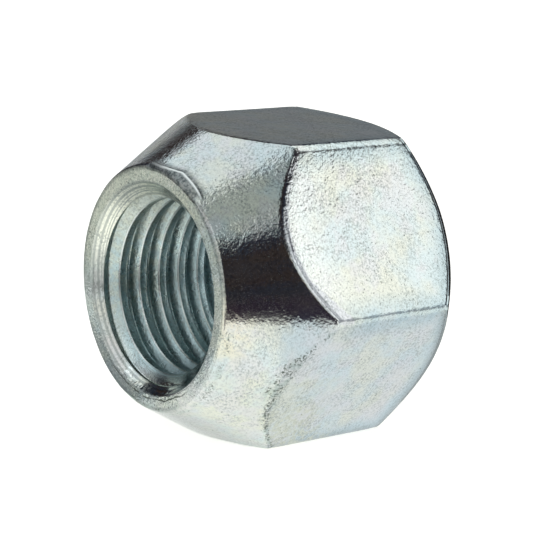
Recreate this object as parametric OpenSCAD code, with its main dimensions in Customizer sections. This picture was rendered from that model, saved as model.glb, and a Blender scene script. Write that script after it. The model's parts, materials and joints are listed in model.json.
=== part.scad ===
// Open-end lug nut: one cold-forged steel hexagon with a conical seat and a through thread.
// It lies on one flat of its hexagon. The thread's axis runs along Y at height 0, the
// conical end faces -Y, and the origin is on that axis halfway between the two ends.
// Shapes are drawn standing on the rear face, from z = 0 up to the rim, and then laid down.

/* [Hexagon] */
// Distance across the flats, which is the size of the socket that turns the nut
across_flats = 19; // [18:0.1:21]
// Radius that rounds the six long corners
corner_radius = 0.8; // [0.3:0.1:1.6]

/* [Length] */
// Length from the rear face to the rim round the conical end
nut_length = 16.2; // [14:0.1:24]

/* [Conical end] */
// Angle between opposite sides of the conical seat
seat_angle = 60; // [54:1:74]
// Diameter of the cone where it meets the rim's face, before the edge is rounded
rim_d = 14.9; // [14.2:0.1:16]
// Radius that rounds the rim's outer edge
rim_edge_radius = 0.35; // [0.1:0.05:0.6]

/* [Rear end] */
// Diameter of the flat rear face
rear_face_d = 18.2; // [15:0.1:18.6]
// Angle between the rear chamfer and the thread's axis
rear_chamfer_angle = 45; // [40:1:65]

/* [Thread] */
// Nominal diameter of the metric thread
thread_d = 12; // [10:0.5:12.5]
// Pitch of the thread
thread_pitch = 1.5; // [1:0.25:2]
// How much wider than its basic size the hole is drilled before it is tapped
tap_allowance = 0.3; // [0:0.05:0.4]
// Angle, round from the corner on the +X side, at which the groove runs out through the rim
thread_exit_angle = 50; // [0:5:360]
// Angle between opposite sides of the countersinks
countersink_angle = 90; // [80:5:120]
// Mouth of the countersink in the conical end
front_countersink_d = 13; // [12.8:0.1:13.4]
// Mouth of the countersink in the rear face
rear_countersink_d = 12.8; // [12.6:0.1:13.4]

/* [Hidden] */
$fn = 96;

// A standard thread's crests stand this share of its pitch in from the nominal diameter
CREST_SHARE = 1.0825;
// The bottom of its groove is flat for this share of its pitch
ROOT_SHARE = 1 / 8;
// Angle between each side of its groove and a plane square to the axis
FLANK_ANGLE = 30;
// Straight steps of the groove in each turn
TURN_STEPS = 24;
// How far the shape that cuts the groove reaches in past the crests
CREST_OVERRUN = 0.2;
// Steps along the rounded edge of the rim
EDGE_STEPS = 6;
// How far cutting shapes run past the faces that they cut
OVERRUN = 1;
CORNER_COUNT = 6;

flat_reach = across_flats / 2;
half_turn = 180 / CORNER_COUNT;
// Corner arcs are centred where the flats, moved in by the corner radius, would meet
arc_centre_r = (flat_reach - corner_radius) / cos(half_turn);
flat_width = 2 * (flat_reach - corner_radius) * tan(half_turn);
corner_reach = arc_centre_r + corner_radius;
// The turned outline is drawn out past the corners, where the hexagon ends it
outline_r = corner_reach + OVERRUN;

rim_r = rim_d / 2;
seat_slope = tan(seat_angle / 2);
cone_foot_z = nut_length - (outline_r - rim_r) / seat_slope;
rear_face_r = rear_face_d / 2;
chamfer_top_z = (outline_r - rear_face_r) / tan(rear_chamfer_angle);

bore_d = thread_d - CREST_SHARE * thread_pitch + tap_allowance;
bore_r = bore_d / 2;
countersink_slope = tan(countersink_angle / 2);

// Section of the groove: half its width at its root, and where its cutting shape starts
root_r = thread_d / 2;
groove_start_r = bore_r - CREST_OVERRUN;
root_half_width = thread_pitch * ROOT_SHARE / 2;
start_half_width = root_half_width + (root_r - groove_start_r) * tan(FLANK_ANGLE);
// The groove runs from half a pitch past the rim to half a pitch behind the rear face
groove_steps = ceil((nut_length / thread_pitch + 1) * TURN_STEPS);

// The rounded edge touches the rim's face and the cone, whose outward direction turns
// from straight along the axis to square with the cone
edge_sweep = 90 - seat_angle / 2;
edge_setback = rim_edge_radius * tan(edge_sweep / 2);
edge_centre = [rim_r - edge_setback, nut_length - rim_edge_radius];
rim_edge = [
    for (i = [0:EDGE_STEPS])
        let (turn = seat_angle / 2 + edge_sweep * i / EDGE_STEPS)
        edge_centre + rim_edge_radius * [cos(turn), sin(turn)]
];

// Half section of everything that is turned: rear face, chamfer, cone and rounded rim
module turned_outline() {
    rotate_extrude()
        polygon(concat(
            [[0, 0], [rear_face_r, 0], [outline_r, chamfer_top_z], [outline_r, cone_foot_z]],
            rim_edge,
            [[0, nut_length]]
        ));
}

// Six flats with their corners rounded: three crossing slabs and one round bar at each
// corner, turned so that the seam of its curved face is buried in the slabs
module rounded_hexagon() {
    for (i = [0:CORNER_COUNT / 2 - 1])
        rotate(i * 2 * half_turn)
            translate([-flat_width / 2, -flat_reach, 0])
                cube([flat_width, across_flats, nut_length]);
    for (i = [0:CORNER_COUNT - 1])
        rotate(i * 2 * half_turn)
            translate([arc_centre_r, 0, 0])
                rotate(180)
                    cylinder(r = corner_radius, h = nut_length);
}

// Countersink that opens downwards at z = 0 and runs up until it meets the bore
module countersink(mouth_d) {
    depth = (mouth_d / 2 - bore_r) / countersink_slope;
    translate([0, 0, -OVERRUN])
        cylinder(
            r1 = mouth_d / 2 + OVERRUN * countersink_slope,
            r2 = bore_r,
            h = depth + OVERRUN
        );
}

// Right-hand helical groove: a trapezoid, wide at the crests and narrow at the root, that
// winds down from past the rim with one ring of four corners at each step
module thread_groove() {
    section = [
        [groove_start_r, -start_half_width],
        [root_r, -root_half_width],
        [root_r, root_half_width],
        [groove_start_r, start_half_width]
    ];
    points = [
        for (step = [0:groove_steps], corner = section)
            let (turns_down = step / TURN_STEPS - 1 / 2)
            let (angle = thread_exit_angle - 360 * turns_down)
            [
                corner[0] * cos(angle),
                corner[0] * sin(angle),
                nut_length - thread_pitch * turns_down + corner[1]
            ]
    ];
    sides = [
        for (step = [0:groove_steps - 1], corner = [0:3])
            let (a = 4 * step + corner, b = 4 * step + (corner + 1) % 4)
            each [[a, b + 4, b], [a, a + 4, b + 4]]
    ];
    top_end = [0, 1, 2, 3];
    bottom_end = [for (corner = [3:-1:0]) 4 * groove_steps + corner];
    polyhedron(points, concat(sides, [top_end, bottom_end]));
}

// Hole at the size of the thread's crests, open and countersunk at both ends
module threaded_hole() {
    thread_groove();
    translate([0, 0, -OVERRUN])
        cylinder(r = bore_r, h = nut_length + 2 * OVERRUN);
    countersink(rear_countersink_d);
    translate([0, 0, nut_length])
        mirror([0, 0, 1])
            countersink(front_countersink_d);
}

// The turned outline's seam is set on the middle of a flat, away from the corners
module lug_nut() {
    color([0.71, 0.73, 0.71])
        rotate([90, 0, 0])
            translate([0, 0, -nut_length / 2])
                difference() {
                    intersection() {
                        rounded_hexagon();
                        rotate(half_turn)
                            turned_outline();
                    }
                    threaded_hole();
                }
}

lug_nut();
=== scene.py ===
import json
import math

import bmesh
import bpy
import numpy as np
from mathutils import Matrix, Vector, noise


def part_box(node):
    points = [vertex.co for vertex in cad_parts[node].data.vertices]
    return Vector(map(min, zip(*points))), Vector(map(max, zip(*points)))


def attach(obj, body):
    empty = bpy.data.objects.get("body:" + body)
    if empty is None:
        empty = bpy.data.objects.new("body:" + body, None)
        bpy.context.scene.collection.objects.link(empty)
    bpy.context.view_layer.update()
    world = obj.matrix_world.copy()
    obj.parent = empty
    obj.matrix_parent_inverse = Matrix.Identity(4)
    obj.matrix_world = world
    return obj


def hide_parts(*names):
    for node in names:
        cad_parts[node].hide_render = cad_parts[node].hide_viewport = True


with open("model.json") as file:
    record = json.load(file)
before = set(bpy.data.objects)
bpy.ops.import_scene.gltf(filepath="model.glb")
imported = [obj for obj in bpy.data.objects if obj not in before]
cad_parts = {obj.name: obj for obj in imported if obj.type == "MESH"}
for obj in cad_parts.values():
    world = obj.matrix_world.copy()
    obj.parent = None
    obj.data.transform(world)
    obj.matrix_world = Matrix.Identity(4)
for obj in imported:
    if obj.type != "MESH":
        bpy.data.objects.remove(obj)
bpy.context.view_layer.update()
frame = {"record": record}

# The nut is drawn in millimetres as a profile (r, t) at each angle round the thread's axis:
# r is the distance from the axis and t the distance from the rear face towards the rim.
# Angle 0 points along +X and 90 along +Z. The mesh itself is in metres, in the part's frame.
NUT = "lug_nut"
MM = 0.001
THREAD_MOUNT = next(m for m in frame["record"]["mounts"] if m["name"] == "thread")

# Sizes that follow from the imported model
nut_low, nut_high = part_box(NUT)
FLAT_REACH = (nut_high[2] - nut_low[2]) / 2 / MM
CORNER_REACH = (nut_high[0] - nut_low[0]) / 2 / MM
LENGTH = (nut_high[1] - nut_low[1]) / MM
CREST_R = THREAD_MOUNT["dims"]["r_mm"]

# Hexagon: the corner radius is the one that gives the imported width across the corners
HALF_SIDE = math.radians(30)
SHARP_REACH = FLAT_REACH / math.cos(HALF_SIDE)
CORNER_RADIUS = (SHARP_REACH - CORNER_REACH) / (1 / math.cos(HALF_SIDE) - 1)

# Turned ends
RIM_R = 7.45
SEAT_SLOPE = math.tan(math.radians(30))
RIM_EDGE_SETBACK = 0.2
REAR_FACE_R = 9.1
FRONT_MOUTH_R = 6.5
REAR_MOUTH_R = 6.4
PIT_R = 4.5

# How far each softened edge is set back from the sharp one
CHAMFER_EDGE_SETBACK = 0.26
REAR_FACE_EDGE_SETBACK = 0.07
MOUTH_EDGE_SETBACK = 0.05
# The seat's edge is uneven: each pair is an angle and its setback there
SEAT_EDGE = (
    (0, 0.26), (12, 0.2), (30, 0.34), (44, 0.46), (54, 0.28), (60, 0.18), (105, 0.25), (120, 0.8),
    (135, 0.3), (180, 0.5), (200, 0.2), (240, 0.35), (300, 0.4), (330, 0.2), (360, 0.26),
)
# The setback also waves by this share of itself: each pair is the number of waves round the
# nut and the angle of their start
SEAT_EDGE_WAVE = 0.2
SEAT_EDGE_WAVES = ((7, 0), (11, 40))

# Each flat falls away a little beside its edges: how wide the band is and how deep at the edge
SEAT_ROLL = (0.8, 0.030)
REAR_ROLL = (0.9, 0.045)
CORNER_ROLL = (1.1, 0.028)
# Rows of the profile within this of the hexagon are part of its flats
ON_HEXAGON = 0.02

# The forging's unevenness: how deep each layer of dips is, how wide, and where its noise starts
DIPS = ((0.024, 4.5, 3.0), (0.010, 1.3, 11.0), (0.006, 0.55, 23.0))

# Thread, right-hand: at angle 180 a crest starts this far from the rim's plane
PITCH = 1.5
CREST_START = 1.427
CREST_WIDTH = 0.56
ROOT_R = 6.0
ROOT_WIDTH = 0.18
THREAD_FILLET = 0.08
FILLET_STEPS = 3
TURN_STEPS = 150
# The tap is this many turns long and starts this many before that crest
TURNS = 14
TURNS_BEFORE = 2
# The tap has torn the first groove open towards the mouth by this much. The tear ends at this
# depth and fades over the last part of it.
TORN_WIDTH = 0.25
TORN_DEPTH = 1.9
TORN_FADE = 0.7

# Spacing of the angles round the nut, in degrees
WIDE_STEP = 1.0
CORNER_STEP = 0.4
CORNER_SPAN = 3.2

# The forged nib near the rim at the top of the cone: each pair is an angle and how far its
# ridge lies from the rim's plane there
NIB = (
    (56, 0.34), (61, 0.40), (67, 0.45), (72, 0.47), (76, 0.50),
    (79, 0.37), (83, 0.26), (89, 0.18), (95, 0.24), (101, 0.30),
)
NIB_RANGE = (NIB[0][0], NIB[-1][0], 6)
NIB_SETBACK = 0.04
NIB_HEIGHT = 0.06
NIB_FOOT = 0.16
# The land between the ridge and the rim falls away by this much at the rim
NIB_FALL = 0.16

# The mouth is nicked at the lower left: how deep and wide the nicks are, the distances from
# the mouth's edge over which they fade, where their noise starts, and how much of it is cut off
NICK_DEPTH = 0.05
NICK_SIZE = 0.28
NICK_FADE = (0.1, 0.55)
NICK_SEED = 41.0
NICK_FLOOR = 0.35

# Marks of wear and stains, and painted shade, cover ranges of angle: from, to, and how far they fade
# in and out
NICK_RANGE = (238, 300, 10)
WIDE_SEAM = (318, 356, 12)
DARK_RIM = (222, 292, 10)
SCUFFED_RIM = (236, 300, 20)
CLEAN_RIM = (125, 235, 30)
CRACKED_RIM = (226, 318, 22)
# Painted shade on the left of the countersink
SHADED_MOUTH = (166, 204, 14)
CREAM_MOUTH = (55, 205, 50)
CREAM_BORE = (60, 180, 45)
STAINED_THREAD = (90, 235, 40)
UPPER_FLAT = (2, 58, 12)
# These ranges count from the lowest point of the nut
PITTED_SIDE = (10, 92, 12)
DARK_RIM_EDGE = (85, 290, 25)
RUBBED_MOUTH = (10, 150, 20)
WARM_SIDE = (66, 108, 14)
CALM_SIDE = (55, 130, 15)

# How far inside a face, a flat or the worn edge of one its vertices may lie
ON_FACE = 0.06
ON_FLAT = 0.15
ON_WORN_EDGE = 0.25

# Bands beside the edges of each flat
BORDER_WIDTH = 1.9
SEAM_WIDTH = 0.2
STRIP_WIDTH = 0.42
STRIP_FLARE = 0.75
STRIP_FLARE_ANGLE = 11

# Camera: the photo's own view, from a fit of the nut's outline and edges
PHOTO_PX = 555
CAMERA_AZIMUTH = 50.789
CAMERA_ELEVATION = 15.099
CAMERA_ROLL = 4.516
CAMERA_AT = (91.426, -72.884, 31.509)
FOCAL_PX = 1935.322
SENSOR_MM = 36.0
# It sees what lies between these distances, in metres
CLIP_FROM = 0.005
CLIP_TO = 20

# Edges that turn more sharply than this are shaded as edges
SHARP_ANGLE = math.radians(32)

# Colours of the plate
BLUE_ZINC = (0.605, 0.695, 0.71, 1)
YELLOW_ZINC = (0.69, 0.715, 0.64, 1)
LILAC_ZINC = (0.675, 0.68, 0.70, 1)
BORDER_ZINC = (0.495, 0.605, 0.64, 1)
STRIP_ZINC = (0.64, 0.665, 0.69, 1)
# Darker inside the bore: partly painted shade of the recess, partly a bluer tint
BORE_ZINC = (0.41, 0.545, 0.575, 1)
# Pale areas, rubbed edges, and painted highlight on edges and along the thread's crests
PALE_ZINC = (0.80, 0.84, 0.82, 1)
# Scuffs, and painted shade on the left of the countersink
SCUFF_AND_SHADE_ZINC = (0.08, 0.095, 0.10, 1)
# Painted shade underneath the nut, partly dirt beside the lower right flat's edges
UNDERSIDE_SHADE_AND_DIRT_ZINC = (0.30, 0.33, 0.33, 1)
WARM_ZINC = (0.73, 0.68, 0.52, 1)
CREAM_ZINC = (0.90, 0.92, 0.80, 1)
RIM_ZINC = (0.40, 0.44, 0.42, 1)
MOSS_ZINC = (0.60, 0.62, 0.50, 1)
GREEN_ZINC = (0.36, 0.46, 0.42, 1)
DARK_ZINC = (0.25, 0.29, 0.28, 1)
SPECK = (0.10, 0.12, 0.10, 1)
GRAIN_DEPTH = 0.55
# Strength of the painted highlight along the thread's crests
CREST_HIGHLIGHT = 0.7
# How far the painted shade underneath goes towards its grey
UNDERSIDE_SHADE_AND_DIRT_SHARE = 0.8
PALE_SHARE = 0.65

# Surface of the plate: its roughness from and to, and what marks add to it
ROUGHNESS = (0.09, 0.15)
BORE_ROUGHNESS = 0.16
DULL_ROUGHNESS = 0.2
CREAM_ROUGHNESS = 0.2

# Heights in its bump, and how much lower the peel and grain are where it is calm
PEEL_HEIGHT = 0.016
GRAIN_HEIGHT = 0.024
CALM_SHARE = 0.6
RING_HEIGHT = 0.008
PIT_DEPTH = 0.004

# The torn line in the rim: its distance from the axis, how far it wanders and how deep it is
CRACK_R = 6.72
CRACK_WANDER = 0.5
CRACK_DEPTH = 0.02

# Distances from the middle of a narrow line over which it fades, and from the thread's crests
# over which their painted highlight does
LINE_FADE = (0.02, 0.06)
CREST_FADE = (0.03, 0.08)

# Studio, in metres: radiance 1 shows as plain white
FLOOR_SIZE = 3.0
FLOOR_COLOUR = (0.9, 0.9, 0.87, 1)
FLOOR_GLOW = 0.82
FLOOR_ROUGHNESS = 0.9
FLOOR_SPECULAR = 0.1
AIR_BROWN = (1.3, 0.87, 0.78, 1)
AIR_NAVY = (0.74, 0.9, 1.45, 1)
AIR_RADIANCE = 0.032
# How many patches of the two colours the air has along the radius of the sky
AIR_SCALE = 5.5
# Cards lie this far above the floor, in millimetres
CARD_RISE = 0.2
# Each card on the floor: name, azimuth, half its angle, nearest and farthest reach in
# millimetres, radiance
CARDS = [
    ("side_card", 67, 18, 48, 1500, (0.031, 0.022, 0.04)),
    ("front_card", 36, 13, 35, 90, (0.3, 0.29, 0.31)),
    ("front_shade", 300, 36, 11, 34, (0.43, 0.46, 0.47)),
    ("front_grey", 301, 17, 34, 50, (0.52, 0.55, 0.53)),
    ("front_cream", 301, 17, 50, 400, (0.74, 0.76, 0.69)),
    ("front_pale", 335, 17, 34, 400, (0.7, 0.74, 0.73)),
    ("flat_shade", 107, 42, 4, 46, (0.97, 1.0, 1.02)),
    ("rear_shade", 204, 54, 7, 28, (0.5, 0.52, 0.53)),
    ("rear_card", 195, 33, 30, 1500, (0.02, 0.02, 0.02)),
    ("rear_grey", 246, 18, 30, 130, (0.85, 0.9, 0.93)),
    ("rear_dark", 246, 18, 130, 1500, (0.25, 0.28, 0.29)),
]
# Each panel: name, azimuth, elevation, distance, width and height in metres, radiance, colour
PANELS = [
    ("key_panel", 137, 27, 0.5, 0.24, 0.2, 0.87, (1.0, 0.98, 0.92)),
    ("key_fringe", 131, 20, 0.6, 0.5, 0.42, 0.52, (0.93, 0.97, 1.0)),
    ("overhead_panel", 283, 62, 0.5, 0.6, 0.46, 1.0, (0.93, 0.98, 1.0)),
    ("grey_panel", 48, 63, 0.5, 0.26, 0.3, 0.42, (0.9, 1.0, 0.97)),
    ("front_panel", 8, 29, 0.5, 0.67, 0.48, 0.9, (1.0, 1.0, 0.98)),
    ("left_panel", 322, 24, 0.5, 0.4, 0.24, 0.4, (0.96, 0.99, 1.0)),
    ("right_panel", 97, 22, 0.5, 0.22, 0.2, 0.75, (0.97, 0.97, 1.0)),
    ("corner_panel", 190, 50, 0.5, 0.44, 0.16, 1.4, (1.0, 0.99, 0.95)),
    ("rear_panel", 238, 9, 0.5, 0.27, 0.2, 0.2, (0.95, 1.0, 0.98)),
    ("back_panel", 212, 22, 0.5, 0.14, 0.16, 0.3, (0.96, 0.99, 1.0)),
    ("rear_fringe", 248, 4, 0.6, 0.13, 0.13, 0.24, (0.95, 0.98, 1.0)),
]


# Smooth steps

def eased(value, low, high):
    """Smooth step from 0 at low to 1 at high."""
    u = np.clip((value - low) / (high - low), 0, 1)
    return u * u * (3 - 2 * u)


def fading(value, low, high):
    """Smooth step from 1 at low to 0 at high."""
    return 1 - eased(value, low, high)


def window(angles, low, high, fade):
    """1 between low and high, fading to 0 at both."""
    return eased(angles, low, low + fade) * fading(angles, high - fade, high)


# Hexagon outline

def off_corner_degrees(angles):
    """Angle to the nearest corner of the hexagon."""
    return np.abs((angles + 30) % 60 - 30)


def hexagon_reach(angles):
    """Distance from the axis to the rounded hexagon, at angles in degrees."""
    off_corner = np.radians(off_corner_degrees(angles))
    centre = (FLAT_REACH - CORNER_RADIUS) / math.cos(HALF_SIDE)
    tangent = math.atan2(
        CORNER_RADIUS * math.sin(HALF_SIDE),
        centre + CORNER_RADIUS * math.cos(HALF_SIDE),
    )
    on_flat = FLAT_REACH / np.cos(HALF_SIDE - off_corner)
    under_root = np.maximum(CORNER_RADIUS**2 - (centre * np.sin(off_corner)) ** 2, 0)
    on_corner = centre * np.cos(off_corner) + np.sqrt(under_root)
    return np.where(off_corner > tangent, on_flat, on_corner)


def turning_angles():
    """Angles round the nut, closer together at the six rounded corners."""
    angles = [0.0]
    while angles[-1] < 360 - CORNER_STEP:
        near_corner = off_corner_degrees(angles[-1]) < CORNER_SPAN
        step = CORNER_STEP if near_corner else WIDE_STEP
        angles.append(angles[-1] + step)
    return np.array(angles[:-1]) * 360 / angles[-1]


# Profile: each row is one pair of arrays, the r and t at every angle

def row(r, t, angles):
    return np.stack([np.broadcast_to(r, angles.shape), np.broadcast_to(t, angles.shape)])


def straight(start, end, count):
    """Rows after start and before end."""
    return [start + (end - start) * i / (count + 1) for i in range(1, count + 1)]


def softened(before, edge, after, setback, count):
    """Rows that round an edge, from the side of before to the side of after."""
    def moved(towards):
        way = towards - edge
        return edge + way * setback / np.linalg.norm(way, axis=0)

    first, last = moved(before), moved(after)
    rows = []
    for i in range(count + 1):
        u = i / count
        rows.append((1 - u) ** 2 * first + 2 * u * (1 - u) * edge + u**2 * last)
    return rows


def seat_setbacks(angles):
    """How far the seat's edge is set back, which varies round the nut."""
    first, second = (
        np.sin(np.radians(angles * count + start)) for count, start in SEAT_EDGE_WAVES
    )
    return np.interp(angles, *zip(*SEAT_EDGE)) * (1 + SEAT_EDGE_WAVE * first * second)


def nib_depths(angles):
    """How far the nib's ridge lies from the rim's plane."""
    return np.interp(angles, *zip(*NIB))


def seat_line(reach):
    """Where the cone meets the hexagon, which is that far from the axis."""
    return LENGTH - (reach - RIM_R) / SEAT_SLOPE


def rear_line(reach):
    """Where the rear chamfer meets the hexagon."""
    return reach - REAR_FACE_R


def blank_rows(angles):
    """The nut before it is tapped, from the bottom of the rear pit round to the front one."""
    reach = hexagon_reach(angles)
    rear_pit = row(PIT_R, REAR_MOUTH_R - PIT_R, angles)
    rear_mouth = row(REAR_MOUTH_R, 0, angles)
    rear_edge = row(REAR_FACE_R, 0, angles)
    chamfer_edge = row(reach, rear_line(reach), angles)
    seat_edge = row(reach, seat_line(reach), angles)
    nib = window(angles, *NIB_RANGE)
    nib_depth = nib_depths(angles)
    nib_edge = row(RIM_R + nib_depth * SEAT_SLOPE + NIB_HEIGHT * nib, LENGTH - nib_depth, angles)
    foot_depth = nib_depth + NIB_FOOT
    nib_foot = row(RIM_R + foot_depth * SEAT_SLOPE, LENGTH - foot_depth, angles)
    rim_edge = row(RIM_R - NIB_FALL * nib, LENGTH, angles)
    front_mouth = row(FRONT_MOUTH_R, LENGTH, angles)
    front_pit = row(PIT_R, LENGTH - (FRONT_MOUTH_R - PIT_R), angles)
    # Each edge, its setback, the steps that round it and the rows up to the next edge
    corners = [
        (rear_pit, 0, 1, 6),
        (rear_mouth, MOUTH_EDGE_SETBACK, 3, 8),
        (rear_edge, REAR_FACE_EDGE_SETBACK, 3, 6),
        (chamfer_edge, CHAMFER_EDGE_SETBACK, 4, 58),
        (seat_edge, seat_setbacks(angles), 6, 34),
        (nib_foot, NIB_SETBACK, 2, 1),
        (nib_edge, NIB_SETBACK, 3, 3),
        (rim_edge, RIM_EDGE_SETBACK, 6, 4),
        (front_mouth, MOUTH_EDGE_SETBACK, 3, 18),
        (front_pit, 0, 1, 0),
    ]
    rows = []
    for i, (edge, setback, edge_rows, rows_after) in enumerate(corners):
        if np.any(setback):
            rows += softened(corners[i - 1][0], edge, corners[i + 1][0], setback, edge_rows)
        else:
            rows.append(edge)
        if rows_after:
            following, following_setback = corners[i + 1][:2]
            way = following - edge
            end = following - way * following_setback / np.linalg.norm(way, axis=0)
            rows += straight(rows[-1], end, rows_after)
    return np.array(rows)


def to_frame(r, t, angles):
    """Points of the part's frame, in millimetres."""
    turn = np.radians(angles)
    return np.stack([r * np.cos(turn), LENGTH / 2 - t, r * np.sin(turn)], axis=-1)


def grid_normals(points):
    """Outward directions on a closed grid of points."""
    along = np.gradient(points, axis=0)
    across = np.roll(points, -1, axis=1) - np.roll(points, 1, axis=1)
    normals = np.cross(across, along)
    return normals / np.linalg.norm(normals, axis=-1, keepdims=True)


def noise_at(points, size, seed):
    """Smooth noise from 0 to 1 with bumps of that size in millimetres."""
    moved = points.reshape(-1, 3) / size + seed
    values = np.array([noise.noise(Vector(p)) for p in moved])
    return np.clip(values * 0.5 + 0.5, 0, 1).reshape(points.shape[:-1])


def object_from(name, verts, faces):
    mesh = bpy.data.meshes.new(name)
    mesh.from_pydata(verts, [], faces)
    mesh.update()
    made = bpy.data.objects.new(name, mesh)
    bpy.context.scene.collection.objects.link(made)
    return made


def to_corner(angles):
    """Distance along a flat to the sharp line where it would meet the next one."""
    off_middle = np.abs(angles % 60 - 30)
    return FLAT_REACH * (math.tan(HALF_SIDE) - np.tan(np.radians(off_middle)))


def rolled_edges(r, t, angles):
    """How far the flats fall away beside their edges."""
    reach = hexagon_reach(angles)
    on_side = r > reach - ON_HEXAGON
    rolls = (
        (seat_line(reach) - t, SEAT_ROLL),
        (t - rear_line(reach), REAR_ROLL),
        (to_corner(angles), CORNER_ROLL),
    )
    dips = 0
    for distance, (width, depth) in rolls:
        dips = dips + depth * np.clip(1 - distance / width, 0, 1) ** 2
    return np.where(on_side, dips, 0)


def nicked(points, rows):
    """Burrs and nicks along the mouth of the front countersink."""
    angles = np.degrees(np.arctan2(points[..., 2], points[..., 0])) % 360
    off_mouth = np.hypot(rows[:, 0] - FRONT_MOUTH_R, rows[:, 1] - LENGTH)
    shown = window(angles, *NICK_RANGE) * fading(off_mouth, *NICK_FADE)
    lumps = noise_at(points, NICK_SIZE, NICK_SEED) - NICK_FLOOR
    axis_y = np.array([0, 1, 0])
    return points + (NICK_DEPTH * shown * np.maximum(lumps, 0) * 2)[..., None] * axis_y


def make_blank():
    """The nut before it is tapped, as a closed mesh."""
    angles = turning_angles()
    rows = blank_rows(angles)
    points = to_frame(rows[:, 0], rows[:, 1], angles)
    dips = sum(depth * noise_at(points, size, seed) for depth, size, seed in DIPS)
    dips += rolled_edges(rows[:, 0], rows[:, 1], angles)
    points = points - grid_normals(points) * dips[..., None]
    points = nicked(points, rows)
    count, around = points.shape[:2]
    verts = points.reshape(-1, 3) * MM
    faces = []
    for i in range(count - 1):
        for j in range(around):
            k = (j + 1) % around
            faces.append((
                i * around + j,
                i * around + k,
                (i + 1) * around + k,
                (i + 1) * around + j,
            ))
    last = (count - 1) * around
    faces.append(tuple(reversed(range(around))))
    faces.append(tuple(last + j for j in range(around)))
    return object_from("nut_blank", verts.tolist(), faces)


def thread_profile():
    """Points (depth, r) of one pitch of the tap, from the start of a crest."""
    flank = (PITCH - CREST_WIDTH - ROOT_WIDTH) / 2
    corners = [
        np.array([0, CREST_R]),
        np.array([CREST_WIDTH, CREST_R]),
        np.array([CREST_WIDTH + flank, ROOT_R]),
        np.array([PITCH - flank, ROOT_R]),
    ]
    pitch = np.array([PITCH, 0])
    before = [corners[-1] - pitch] + corners[:-1]
    after = corners[1:] + [corners[0] + pitch]
    points = []
    for sides in zip(before, corners, after):
        points += softened(*sides, THREAD_FILLET, FILLET_STEPS)
    return points


def make_tap():
    """A closed screw that the blank is cut with: the bore's core and one helical ridge."""
    profile = thread_profile()
    width = len(profile)
    steps = TURN_STEPS * TURNS
    start = CREST_START - PITCH / 2 - TURNS_BEFORE * PITCH
    verts = []
    for step in range(steps + 1):
        angle = -2 * math.pi * step / TURN_STEPS
        turn_start = start + PITCH * step / TURN_STEPS
        torn = TORN_WIDTH * fading(turn_start + PITCH, TORN_DEPTH - TORN_FADE, TORN_DEPTH)
        for j, (depth, r) in enumerate(profile):
            # The second and third corners carry the side of the ridge that faces the mouth
            moved = torn if FILLET_STEPS < j < 3 * (FILLET_STEPS + 1) else 0
            y = turn_start + depth - moved - LENGTH / 2
            verts.append((r * math.cos(angle), y, r * math.sin(angle)))

    def index(step, j):
        """The point past the end of a pitch is the first one of the next turn."""
        return (step + TURN_STEPS) * width if j == width else step * width + j

    faces = []
    for step in range(steps):
        for j in range(width if step < steps - TURN_STEPS else width - 1):
            faces.append((
                index(step, j),
                index(step, j + 1),
                index(step + 1, j + 1),
                index(step + 1, j),
            ))
    first_loop = [index(step, 0) for step in range(TURN_STEPS + 1)]
    first_loop += [index(0, j) for j in range(width - 1, 0, -1)]
    last_loop = [index(step, width - 1) for step in range(steps - TURN_STEPS, steps + 1)]
    last_loop += [index(steps, j) for j in range(width - 2, -1, -1)]
    for loop in (first_loop, last_loop):
        verts.append((0, verts[loop[0]][1], 0))
        for a, b in zip(loop, loop[1:] + loop[:1]):
            faces.append((a, b, len(verts) - 1))
    return object_from("nut_tap", [[c * MM for c in v] for v in verts], faces)


def face_outwards(piece):
    bm = bmesh.new()
    bm.from_mesh(piece.data)
    bmesh.ops.recalc_face_normals(bm, faces=bm.faces)
    bm.to_mesh(piece.data)
    bm.free()


def make_nut():
    """The blank with its thread cut, as one closed mesh."""
    blank, tap = make_blank(), make_tap()
    for piece in (blank, tap):
        face_outwards(piece)
    cut = blank.modifiers.new("thread", "BOOLEAN")
    cut.operation = "DIFFERENCE"
    cut.solver = "EXACT"
    cut.object = tap
    graph = bpy.context.evaluated_depsgraph_get()
    mesh = bpy.data.meshes.new_from_object(blank.evaluated_get(graph))
    for piece in (blank, tap):
        bpy.data.objects.remove(piece)
    mesh.name = "lug_nut_plated"
    nut = bpy.data.objects.new("lug_nut_plated", mesh)
    bpy.context.scene.collection.objects.link(nut)
    mesh.polygons.foreach_set("use_smooth", [True] * len(mesh.polygons))
    mesh.set_sharp_from_angle(angle=SHARP_ANGLE)
    mark_surfaces(mesh)
    return nut


# Marks on the surface, for the material

class Places:
    """Where the vertices of the nut lie, in degrees and millimetres."""

    def __init__(self, mesh):
        places = np.empty(len(mesh.vertices) * 3)
        mesh.vertices.foreach_get("co", places)
        x, y, z = places.reshape(-1, 3).T / MM
        t = LENGTH / 2 - y
        self.angles = np.degrees(np.arctan2(z, x)) % 360
        self.from_bottom = (self.angles + 90) % 360
        self.r = np.hypot(x, z)
        self.depth = LENGTH - t
        reach = hexagon_reach(self.angles)
        self.to_seat = seat_line(reach) - t
        self.to_rear = t - rear_line(reach)
        self.to_corner = to_corner(self.angles)
        self.on_side = self.r > reach - ON_FLAT
        self.on_low_flat = (self.angles > 296) & (self.r > reach - ON_WORN_EDGE) & (self.to_seat > 0)
        self.on_cone = (self.to_seat < 0.3) & (self.r > RIM_R - ON_WORN_EDGE)
        self.on_rim = (self.depth < ON_FACE) & (self.r > FRONT_MOUTH_R - 0.1)
        self.on_countersink = np.abs(self.depth - FRONT_MOUTH_R + self.r) < ON_FACE
        self.on_rear_chamfer = (self.to_rear < ON_FLAT) & (self.r > REAR_FACE_R - 0.1)

    def turned(self, turn_range):
        """1 inside a range of angles."""
        return window(self.angles, *turn_range)

    def raised(self, turn_range):
        """1 inside a range of angles that counts from the lowest point."""
        return window(self.from_bottom, *turn_range)


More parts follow.
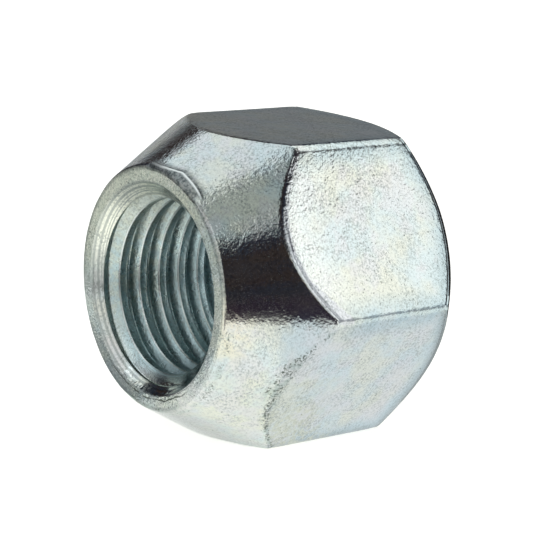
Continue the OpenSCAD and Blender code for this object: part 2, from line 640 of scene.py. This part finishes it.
def flat_marks(at):
    """Bands beside the edges of the flats."""
    to_edge = np.minimum(at.to_corner, at.to_rear)
    border = fading(to_edge, 0.3, BORDER_WIDTH) * at.on_side * eased(at.to_seat, 0, 2.5)

    # A pale strip beside the seat's edge on the upper flat, widest at its lower corner
    flare = np.exp(-((at.angles / STRIP_FLARE_ANGLE) ** 2))
    in_strip = (at.to_seat > 0) & (at.to_seat < STRIP_WIDTH + STRIP_FLARE * flare)
    on_upper_flat = at.turned(UPPER_FLAT) * at.on_side * (at.to_seat > 0)
    return {
        "border": border,
        "strip": in_strip & at.on_side & (at.angles < 60),
        "pale": on_upper_flat * fading(at.to_seat, 0.6, 4),
    }


def pit_marks(at):
    """Pits lie along the seat's edge and beside the rim, mostly on the lower right."""
    pitted = at.raised(PITTED_SIDE)
    width = SEAM_WIDTH * (1 + 1.6 * at.turned(WIDE_SEAM))
    along_seat = fading(np.abs(at.to_seat), width * 0.5, width * 1.6) * (at.r > RIM_R + 1)
    beside_rim = 0.6 * fading(np.abs(at.depth - 0.36), 0.05, 0.25) * at.on_cone
    low_rim = at.turned(DARK_RIM) * fading(np.abs(at.depth - 0.1), 0.05, 0.2) * at.on_cone
    seams = [along_seat * (0.3 + 0.7 * pitted), beside_rim * pitted, low_rim, 0.4 * at.on_rim]
    return {"seam": np.maximum.reduce(seams)}


def rim_marks(at):
    """Wear and tears on the rim, the nib beside it and the countersink, with painted highlight on
    some edges and painted shade on the countersink's left.
    """
    nib_depth = nib_depths(at.angles)
    nib = at.turned(NIB_RANGE) * at.on_cone
    ridge = nib * fading(np.abs(at.depth - nib_depth), 0.02, 0.06)
    land = nib * fading(at.depth - nib_depth, 0.1, 0.5) * (at.depth > 0.03)
    mouth_edge = (np.abs(at.r - FRONT_MOUTH_R) < 0.04) * (at.depth < ON_FACE)
    rim_edge = fading(np.abs(at.depth - 0.06), 0.03, 0.12) * (at.r > RIM_R - ON_WORN_EDGE)
    scuffs = 0.16 + 0.1 * at.turned(SCUFFED_RIM) - 0.13 * at.turned(CLEAN_RIM)
    # Darker: scuffs on the nib's land and the rim, a dark line along the rim's outer edge, and
    # painted shade on the countersink's left
    scuffs_and_shade = [
        land,
        scuffs * at.on_rim,
        0.7 * rim_edge * at.raised(DARK_RIM_EDGE),
        0.3 * at.turned(SHADED_MOUTH) * at.on_countersink,
    ]
    return {
        "rim": at.on_rim * (1 - 0.4 * at.turned(CLEAN_RIM)),
        "crack": at.on_rim * at.turned(CRACKED_RIM),
        "mouth": at.on_countersink,
        # Rubbed edges of the nib's ridge and of the mouth, partly painted highlight where they catch
        # the light
        "wear_and_highlight": np.maximum(ridge, mouth_edge * at.raised(RUBBED_MOUTH)),
        "scuffs_and_shade": np.maximum.reduce(scuffs_and_shade),
    }


def stain_marks(at):
    """Tints of the plate on the cone, the lower flat, the mouth and the bore, with painted shade
    underneath and inside the bore.
    """
    # Painted shade: greyer underneath, and beside the lower corner and rear edge of the lower right
    # flat, where it is partly dirt
    to_low_corner = np.where(at.angles > 330, 9, at.to_corner)
    low_edge_shade_and_dirt = fading(np.minimum(to_low_corner, at.to_rear), 0, 1.0) * at.on_low_flat
    off_bottom = np.minimum(at.from_bottom, 360 - at.from_bottom)
    low_cone_shade = fading(off_bottom, 14, 40) * at.on_cone

    # Cream on the upper side of the mouth and in the first turns of the thread
    cream_mouth = at.turned(CREAM_MOUTH) * np.maximum(at.on_countersink, 0.7 * at.on_rim)
    cream_depth = (0.6 - 0.35 * eased(at.depth, 1.5, 4)) * (at.depth > 0.5)
    cream_bore = at.turned(CREAM_BORE) * cream_depth * (at.r < ROOT_R + 0.1)

    # Mossy on the lower right flat and on the left of the thread
    moss_flat = at.on_low_flat * fading(at.to_seat, 2.5, 6) * fading(at.to_corner, 3, 7)
    in_thread = (at.r < ROOT_R + 0.05) * (at.depth > 0.7) * fading(at.depth, 3, 9)
    moss_thread = 0.65 * at.turned(STAINED_THREAD) * in_thread

    in_bore = eased(at.depth, 0.5, 1.2) * fading(at.depth, LENGTH - 1.2, LENGTH - 0.5)
    return {
        "underside_shade_and_dirt": np.maximum(low_edge_shade_and_dirt, low_cone_shade),
        "warm": at.raised(WARM_SIDE) * fading(at.depth, 0.9, 2.2) * at.on_cone,
        "cream": np.maximum(cream_mouth, cream_bore),
        "moss": np.maximum(moss_flat * (at.angles < 335), moss_thread),
        "bore": in_bore * (at.r < FRONT_MOUTH_R),
    }


def calm_marks(at):
    """Faces with less grain: those that were turned, and the cone's near side."""
    turned = 1.5 * (at.on_countersink | at.on_rear_chamfer)
    return {"calm": np.maximum(at.raised(CALM_SIDE) * at.on_cone, turned)}


def mark_surfaces(mesh):
    """Stores each mark on the mesh as a share from 0 to 1, or a little more."""
    at = Places(mesh)
    for marks in (flat_marks(at), pit_marks(at), rim_marks(at), stain_marks(at), calm_marks(at)):
        for name, values in marks.items():
            layer = mesh.attributes.new(name, "FLOAT", "POINT")
            layer.data.foreach_set("value", np.asarray(values, np.float32))


# Shader nodes

class Nodes:
    """Adds nodes to one tree and links them by name."""

    def __init__(self, tree):
        self.tree = tree
        tree.nodes.clear()

    def add(self, kind, settings=None, **inputs):
        node = self.tree.nodes.new(kind)
        for name, value in (settings or {}).items():
            setattr(node, name, value)
        for name, value in inputs.items():
            self.feed(node, name.replace("_", " "), value)
        return node

    def feed(self, node, name, value):
        socket = node.inputs[name]
        if isinstance(value, bpy.types.NodeSocket):
            self.tree.links.new(value, socket)
        else:
            socket.default_value = value

    def math(self, operation, *values):
        node = self.add("ShaderNodeMath", {"operation": operation})
        for i, value in enumerate(values):
            self.feed(node, i, value)
        return node.outputs[0]

    def mark(self, name):
        """A mark that the mesh carries."""
        return self.add("ShaderNodeAttribute", {"attribute_name": name}).outputs["Fac"]

    def noise(self, place, size, detail=3.0, roughness=0.6):
        """Noise from 0 to 1 with features of that size in millimetres."""
        node = self.add(
            "ShaderNodeTexNoise",
            Vector=place,
            Scale=1 / (size * MM),
            Detail=detail,
            Roughness=roughness,
        )
        return node.outputs["Fac"]

    def noise_1d(self, value, size):
        """Noise along a line, with features of that size in millimetres."""
        node = self.add(
            "ShaderNodeTexNoise",
            {"noise_dimensions": "1D"},
            W=value,
            Scale=1 / (size * MM),
            Detail=1.0,
        )
        return node.outputs["Fac"]

    def ramp(self, value, low, high, to_low=0.0, to_high=1.0):
        """Smooth step from to_low at low to to_high at high."""
        node = self.add(
            "ShaderNodeMapRange",
            {"interpolation_type": "SMOOTHSTEP"},
            Value=value,
            From_Min=low,
            From_Max=high,
            To_Min=to_low,
            To_Max=to_high,
        )
        return node.outputs["Result"]

    def narrow_line(self, off_middle, strength):
        """A line of that strength where the distance from its middle is near 0."""
        fade = [distance * MM for distance in LINE_FADE]
        return self.ramp(self.math("ABSOLUTE", off_middle), *fade, strength, 0.0)

    def mix(self, share, first, second):
        """Colour that is the first where the share is 0 and the second where it is 1."""
        node = self.add("ShaderNodeMix", {"data_type": "RGBA"})
        # The colour sockets of this node share their names with its number sockets
        for index, value in ((0, share), (6, first), (7, second)):
            self.feed(node, index, value)
        return node.outputs[2]

    def tint(self, colour, towards, mark, share):
        """Mixes a colour towards another one by a share of a mark."""
        return self.mix(self.math("MULTIPLY", mark, share), colour, towards)


def turning_rings(nodes, r):
    """Turning marks: rings about the axis, on the countersink."""
    return nodes.math("MULTIPLY", nodes.noise_1d(r, 0.12), nodes.mark("mouth"))


def crest_highlight(nodes, axes, r):
    """Painted highlight: the side of each crest that faces the rim is painted bright, where its
    rounded edge catches the light.
    """
    x, y, z = axes
    turn = nodes.math("DIVIDE", nodes.math("ARCTAN2", z, x), 2 * math.pi)
    depth = nodes.math("SUBTRACT", y, -LENGTH / 2 * MM)
    off_start = nodes.math("SUBTRACT", depth, (CREST_START + PITCH / 2) * MM)
    off_crest = nodes.math("MULTIPLY_ADD", turn, PITCH * MM, off_start)
    off_crest = nodes.math("WRAP", off_crest, PITCH / 2 * MM, -PITCH / 2 * MM)
    on_crest = nodes.narrow_line(off_crest, CREST_HIGHLIGHT)
    near_crest = nodes.ramp(r, *((CREST_R + fade) * MM for fade in CREST_FADE), 1.0, 0.0)
    crest_line_highlight = nodes.math("MULTIPLY", on_crest, near_crest)
    return nodes.math("MULTIPLY", crest_line_highlight, nodes.mark("bore"))


def torn_line(nodes, place, r):
    """The tap has left a torn line in the rim, round the bottom of the mouth."""
    wander = nodes.math("MULTIPLY_ADD", nodes.noise(place, 0.9), CRACK_WANDER * MM, r)
    off_line = nodes.math("SUBTRACT", wander, (CRACK_R + CRACK_WANDER / 2) * MM)
    on_line = nodes.narrow_line(off_line, 1.0)
    broken = nodes.ramp(nodes.noise(place, 0.5, 2.0), 0.36, 0.46)
    torn = nodes.math("MULTIPLY", nodes.mark("crack"), on_line)
    return nodes.math("MULTIPLY", torn, broken)


def dark_pits(nodes, place, outside_wear_and_highlight):
    """Sparse clusters of pits on the faces, closer together along the forged edges."""
    on_faces = nodes.ramp(nodes.noise(place, 3.0), 0.42, 0.62, 0.0, 0.05)
    on_seams = nodes.ramp(nodes.noise(place, 0.9, 2.0), 0.36, 0.54, 0.02, 0.2)
    on_seams = nodes.math("MULTIPLY", nodes.mark("seam"), on_seams)
    lift = nodes.math("ADD", on_faces, on_seams)
    field = nodes.math("ADD", nodes.noise(place, 0.13, 1.5), lift)
    return nodes.math("MULTIPLY", nodes.ramp(field, 0.67, 0.82, 0.0, 0.9), outside_wear_and_highlight)


def plate_colour(nodes, place, rings, wear_and_highlight):
    """Faint colour casts, then stains and painted shade, grain, turning marks, and pale rubbed edges
    and crests, which are partly painted highlight.
    """
    cast = nodes.ramp(nodes.noise(place, 3.2), 0.36, 0.6)
    colour = nodes.mix(cast, BLUE_ZINC, YELLOW_ZINC)
    lilac = nodes.ramp(nodes.noise(place, 2.1), 0.46, 0.62, 0.0, 0.6)
    colour = nodes.mix(lilac, colour, LILAC_ZINC)

    # Paler, cooler and creamier areas of the flats, the bore and the mouth, and painted shade inside
    # the bore and underneath
    colour = nodes.tint(colour, PALE_ZINC, nodes.mark("pale"), PALE_SHARE)
    patchy = nodes.ramp(nodes.noise(place, 1.4, 2.0), 0.3, 0.55, 0.65, 1.0)
    colour = nodes.tint(colour, BORDER_ZINC, nodes.mark("border"), patchy)
    colour = nodes.mix(nodes.mark("strip"), colour, STRIP_ZINC)
    # Darker and bluer inside the bore: partly painted shade of the recess, partly a bluer tint of
    # the plate
    colour = nodes.mix(nodes.mark("bore"), colour, BORE_ZINC)
    colour = nodes.mix(nodes.mark("cream"), colour, CREAM_ZINC)
    rim_grain = nodes.ramp(nodes.noise(place, 0.12, 3.0, 0.7), 0.38, 0.54, 0.6, 0.0)
    colour = nodes.tint(colour, RIM_ZINC, nodes.mark("rim"), rim_grain)
    # Painted shade underneath the nut, and partly dirt beside the lower right flat's edges
    colour = nodes.tint(colour, UNDERSIDE_SHADE_AND_DIRT_ZINC, nodes.mark("underside_shade_and_dirt"), UNDERSIDE_SHADE_AND_DIRT_SHARE)

    # Patchy stains and scuffs, and painted shade on the left of the countersink
    moss_patches = nodes.ramp(nodes.noise(place, 0.45, 3.0, 0.65), 0.4, 0.6, 0.1, 0.8)
    colour = nodes.tint(colour, MOSS_ZINC, nodes.mark("moss"), moss_patches)
    warm_patches = nodes.ramp(nodes.noise(place, 0.8), 0.36, 0.62, 0.12, 0.5)
    colour = nodes.tint(colour, WARM_ZINC, nodes.mark("warm"), warm_patches)
    scuffs = nodes.ramp(nodes.noise(place, 0.24, 3.0, 0.7), 0.4, 0.6, 1.0, 0.6)
    # Darker scuffs, and painted shade on the left of the countersink
    colour = nodes.tint(colour, SCUFF_AND_SHADE_ZINC, nodes.mark("scuffs_and_shade"), scuffs)
    tarnish = nodes.ramp(nodes.noise(place, 0.7, 2.0), 0.45, 0.6, 0.0, 0.5)
    colour = nodes.tint(colour, GREEN_ZINC, nodes.mark("seam"), tarnish)

    grain = nodes.ramp(nodes.noise(place, 0.15, 3.0, 0.75), 0.34, 0.58, GRAIN_DEPTH, 0.0)
    grain_patches = nodes.ramp(nodes.noise(place, 1.8), 0.4, 0.6, 0.5, 1.25)
    colour = nodes.tint(colour, DARK_ZINC, grain, grain_patches)
    colour = nodes.mix(nodes.ramp(rings, 0.44, 0.6, 0.0, 0.6), colour, DARK_ZINC)
    # Pale where edges are rubbed, and painted highlight along them and the thread's crests
    return nodes.mix(wear_and_highlight, colour, PALE_ZINC)


def plate_roughness(nodes, place):
    roughness = nodes.ramp(nodes.noise(place, 1.6), 0.3, 0.7, *ROUGHNESS)
    added = (("bore", BORE_ROUGHNESS), ("scuffs_and_shade", DULL_ROUGHNESS), ("cream", CREAM_ROUGHNESS))
    for name, amount in added:
        roughness = nodes.math("MULTIPLY_ADD", nodes.mark(name), amount, roughness)
    return roughness


def plate_height(nodes, place, outside_wear_and_highlight, details):
    """Orange peel and finer bumps, and then details: pairs of a share and its height."""
    height = nodes.math("MULTIPLY", nodes.noise(place, 0.6, 2.0, 0.5), PEEL_HEIGHT)
    height = nodes.math("MULTIPLY_ADD", nodes.noise(place, 0.2, 2.0), GRAIN_HEIGHT, height)
    height = nodes.math("MULTIPLY", height, outside_wear_and_highlight)
    calm = nodes.math("MULTIPLY_ADD", nodes.mark("calm"), -CALM_SHARE, 1.0)
    height = nodes.math("MULTIPLY", height, calm)
    for share, amount in details:
        height = nodes.math("MULTIPLY_ADD", share, amount, height)
    return height


def zinc_material():
    """Bright zinc plate: clear metal with a faint cast of colour, fine pits and specks."""
    material = bpy.data.materials.new("zinc_plate_finish")
    material.use_nodes = True
    nodes = Nodes(material.node_tree)
    place = nodes.add("ShaderNodeTexCoord").outputs["Object"]
    separated = nodes.add("ShaderNodeSeparateXYZ", Vector=place)
    axes = [separated.outputs[name] for name in "XYZ"]
    squares = [nodes.math("MULTIPLY", axis, axis) for axis in (axes[0], axes[2])]
    r = nodes.math("SQRT", nodes.math("ADD", *squares))

    # Rubbed edges, with painted highlight on them and along the thread's crests
    wear_and_highlight = nodes.math("MAXIMUM", nodes.mark("wear_and_highlight"), crest_highlight(nodes, axes, r))
    outside_wear_and_highlight = nodes.math("SUBTRACT", 1.0, wear_and_highlight)
    rings = turning_rings(nodes, r)
    torn = torn_line(nodes, place, r)
    pits = dark_pits(nodes, place, outside_wear_and_highlight)

    colour = plate_colour(nodes, place, rings, wear_and_highlight)
    colour = nodes.mix(torn, colour, SPECK)
    colour = nodes.mix(pits, colour, SPECK)
    details = ((rings, RING_HEIGHT), (pits, -PIT_DEPTH), (torn, -CRACK_DEPTH))
    height = plate_height(nodes, place, outside_wear_and_highlight, details)
    bump = nodes.add("ShaderNodeBump", Strength=1.0, Distance=MM, Height=height)

    shader = nodes.add(
        "ShaderNodeBsdfPrincipled",
        Base_Color=colour,
        Metallic=1.0,
        Roughness=plate_roughness(nodes, place),
        Normal=bump.outputs["Normal"],
    )
    output = nodes.add("ShaderNodeOutputMaterial")
    nodes.tree.links.new(shader.outputs["BSDF"], output.inputs["Surface"])
    return material


# Camera, floor and light

def direction(azimuth, elevation):
    """Unit direction out from the nut: azimuth 0 is -Y and 90 is +X."""
    a, e = math.radians(azimuth), math.radians(elevation)
    return Vector((math.sin(a) * math.cos(e), -math.cos(a) * math.cos(e), math.sin(e)))


def make_camera():
    """The photo's view: level and up are turned about the line of sight by the roll."""
    back = direction(CAMERA_AZIMUTH, CAMERA_ELEVATION)
    level = Vector((0, 0, 1)).cross(back).normalized()
    up = back.cross(level)
    roll = math.radians(CAMERA_ROLL)
    right = level * math.cos(roll) + up * math.sin(roll)
    top = up * math.cos(roll) - level * math.sin(roll)
    data = bpy.data.cameras.new("photo_view")
    data.sensor_width = SENSOR_MM
    data.lens = FOCAL_PX * SENSOR_MM / PHOTO_PX
    data.clip_start = CLIP_FROM
    data.clip_end = CLIP_TO
    camera = bpy.data.objects.new("photo_view", data)
    turn = Matrix((right, top, back)).transposed().to_4x4()
    camera.matrix_world = Matrix.Translation(Vector(CAMERA_AT) * MM) @ turn
    bpy.context.scene.collection.objects.link(camera)
    bpy.context.scene.camera = camera


def paper_material():
    """Dull paper that glows a little, so that it shows as pale all round the nut."""
    material = bpy.data.materials.new("pale_paper")
    material.use_nodes = True
    shader = material.node_tree.nodes["Principled BSDF"]
    shader.inputs["Base Color"].default_value = FLOOR_COLOUR
    shader.inputs["Roughness"].default_value = FLOOR_ROUGHNESS
    shader.inputs["Specular IOR Level"].default_value = FLOOR_SPECULAR
    shader.inputs["Emission Color"].default_value = FLOOR_COLOUR
    shader.inputs["Emission Strength"].default_value = FLOOR_GLOW
    return material


def make_floor():
    side = FLOOR_SIZE / 2
    low = nut_low[2]
    corners = [(-side, -side, low), (side, -side, low), (side, side, low), (-side, side, low)]
    floor = object_from("studio_floor", corners, [(0, 1, 2, 3)])
    floor.data.materials.append(paper_material())


def make_card(name, azimuth, half_angle, near, far, radiance):
    """A glowing patch of another tone just above the floor, seen only in the metal's reflections:
    painted reflection of shade on the floor near the nut, and of darker and paler parts of the
    studio.
    """
    low = nut_low[2] + CARD_RISE * MM
    corners = []
    for reach, side in ((near, -1), (far, -1), (far, 1), (near, 1)):
        way = direction(azimuth + side * half_angle, 0) * reach * MM
        corners.append((way.x, way.y, low))
    card = object_from(name, corners, [(0, 1, 2, 3)])
    material = bpy.data.materials.new(name)
    material.use_nodes = True
    nodes = Nodes(material.node_tree)
    glow = nodes.add("ShaderNodeEmission", Color=(*radiance, 1), Strength=1.0)
    output = nodes.add("ShaderNodeOutputMaterial")
    nodes.tree.links.new(glow.outputs[0], output.inputs["Surface"])
    card.data.materials.append(material)
    card.visible_camera = False
    card.visible_diffuse = False
    card.visible_shadow = False


def make_panel(name, azimuth, elevation, distance, width, height, radiance, colour):
    """A soft box that faces the nut."""
    data = bpy.data.lights.new(name, "AREA")
    data.shape = "RECTANGLE"
    data.size = width
    data.size_y = height
    data.energy = radiance * math.pi * width * height
    data.color = colour
    panel = bpy.data.objects.new(name, data)
    way = direction(azimuth, elevation)
    panel.location = way * distance
    panel.rotation_euler = way.to_track_quat("Z", "Y").to_euler()
    panel.visible_camera = False
    bpy.context.scene.collection.objects.link(panel)


def make_world():
    """Dim air of two tints, which the metal mirrors between the floor and the panels."""
    world = bpy.data.worlds.new("studio_air")
    world.use_nodes = True
    nodes = Nodes(world.node_tree)
    way = nodes.add("ShaderNodeTexCoord").outputs["Generated"]
    patches = nodes.add("ShaderNodeTexNoise", Vector=way, Scale=AIR_SCALE, Detail=3.0)
    colour = nodes.mix(nodes.ramp(patches.outputs["Fac"], 0.42, 0.58), AIR_BROWN, AIR_NAVY)
    background = nodes.add("ShaderNodeBackground", Color=colour, Strength=AIR_RADIANCE)
    output = nodes.add("ShaderNodeOutputWorld")
    nodes.tree.links.new(background.outputs[0], output.inputs[0])
    bpy.context.scene.world = world


nut = make_nut()
nut.data.materials.clear()
nut.data.materials.append(zinc_material())
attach(nut, "root")
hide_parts(NUT)

make_camera()
make_floor()
for card in CARDS:
    make_card(*card)
for panel in PANELS:
    make_panel(*panel)
make_world()
bpy.context.scene.view_settings.view_transform = "Standard"
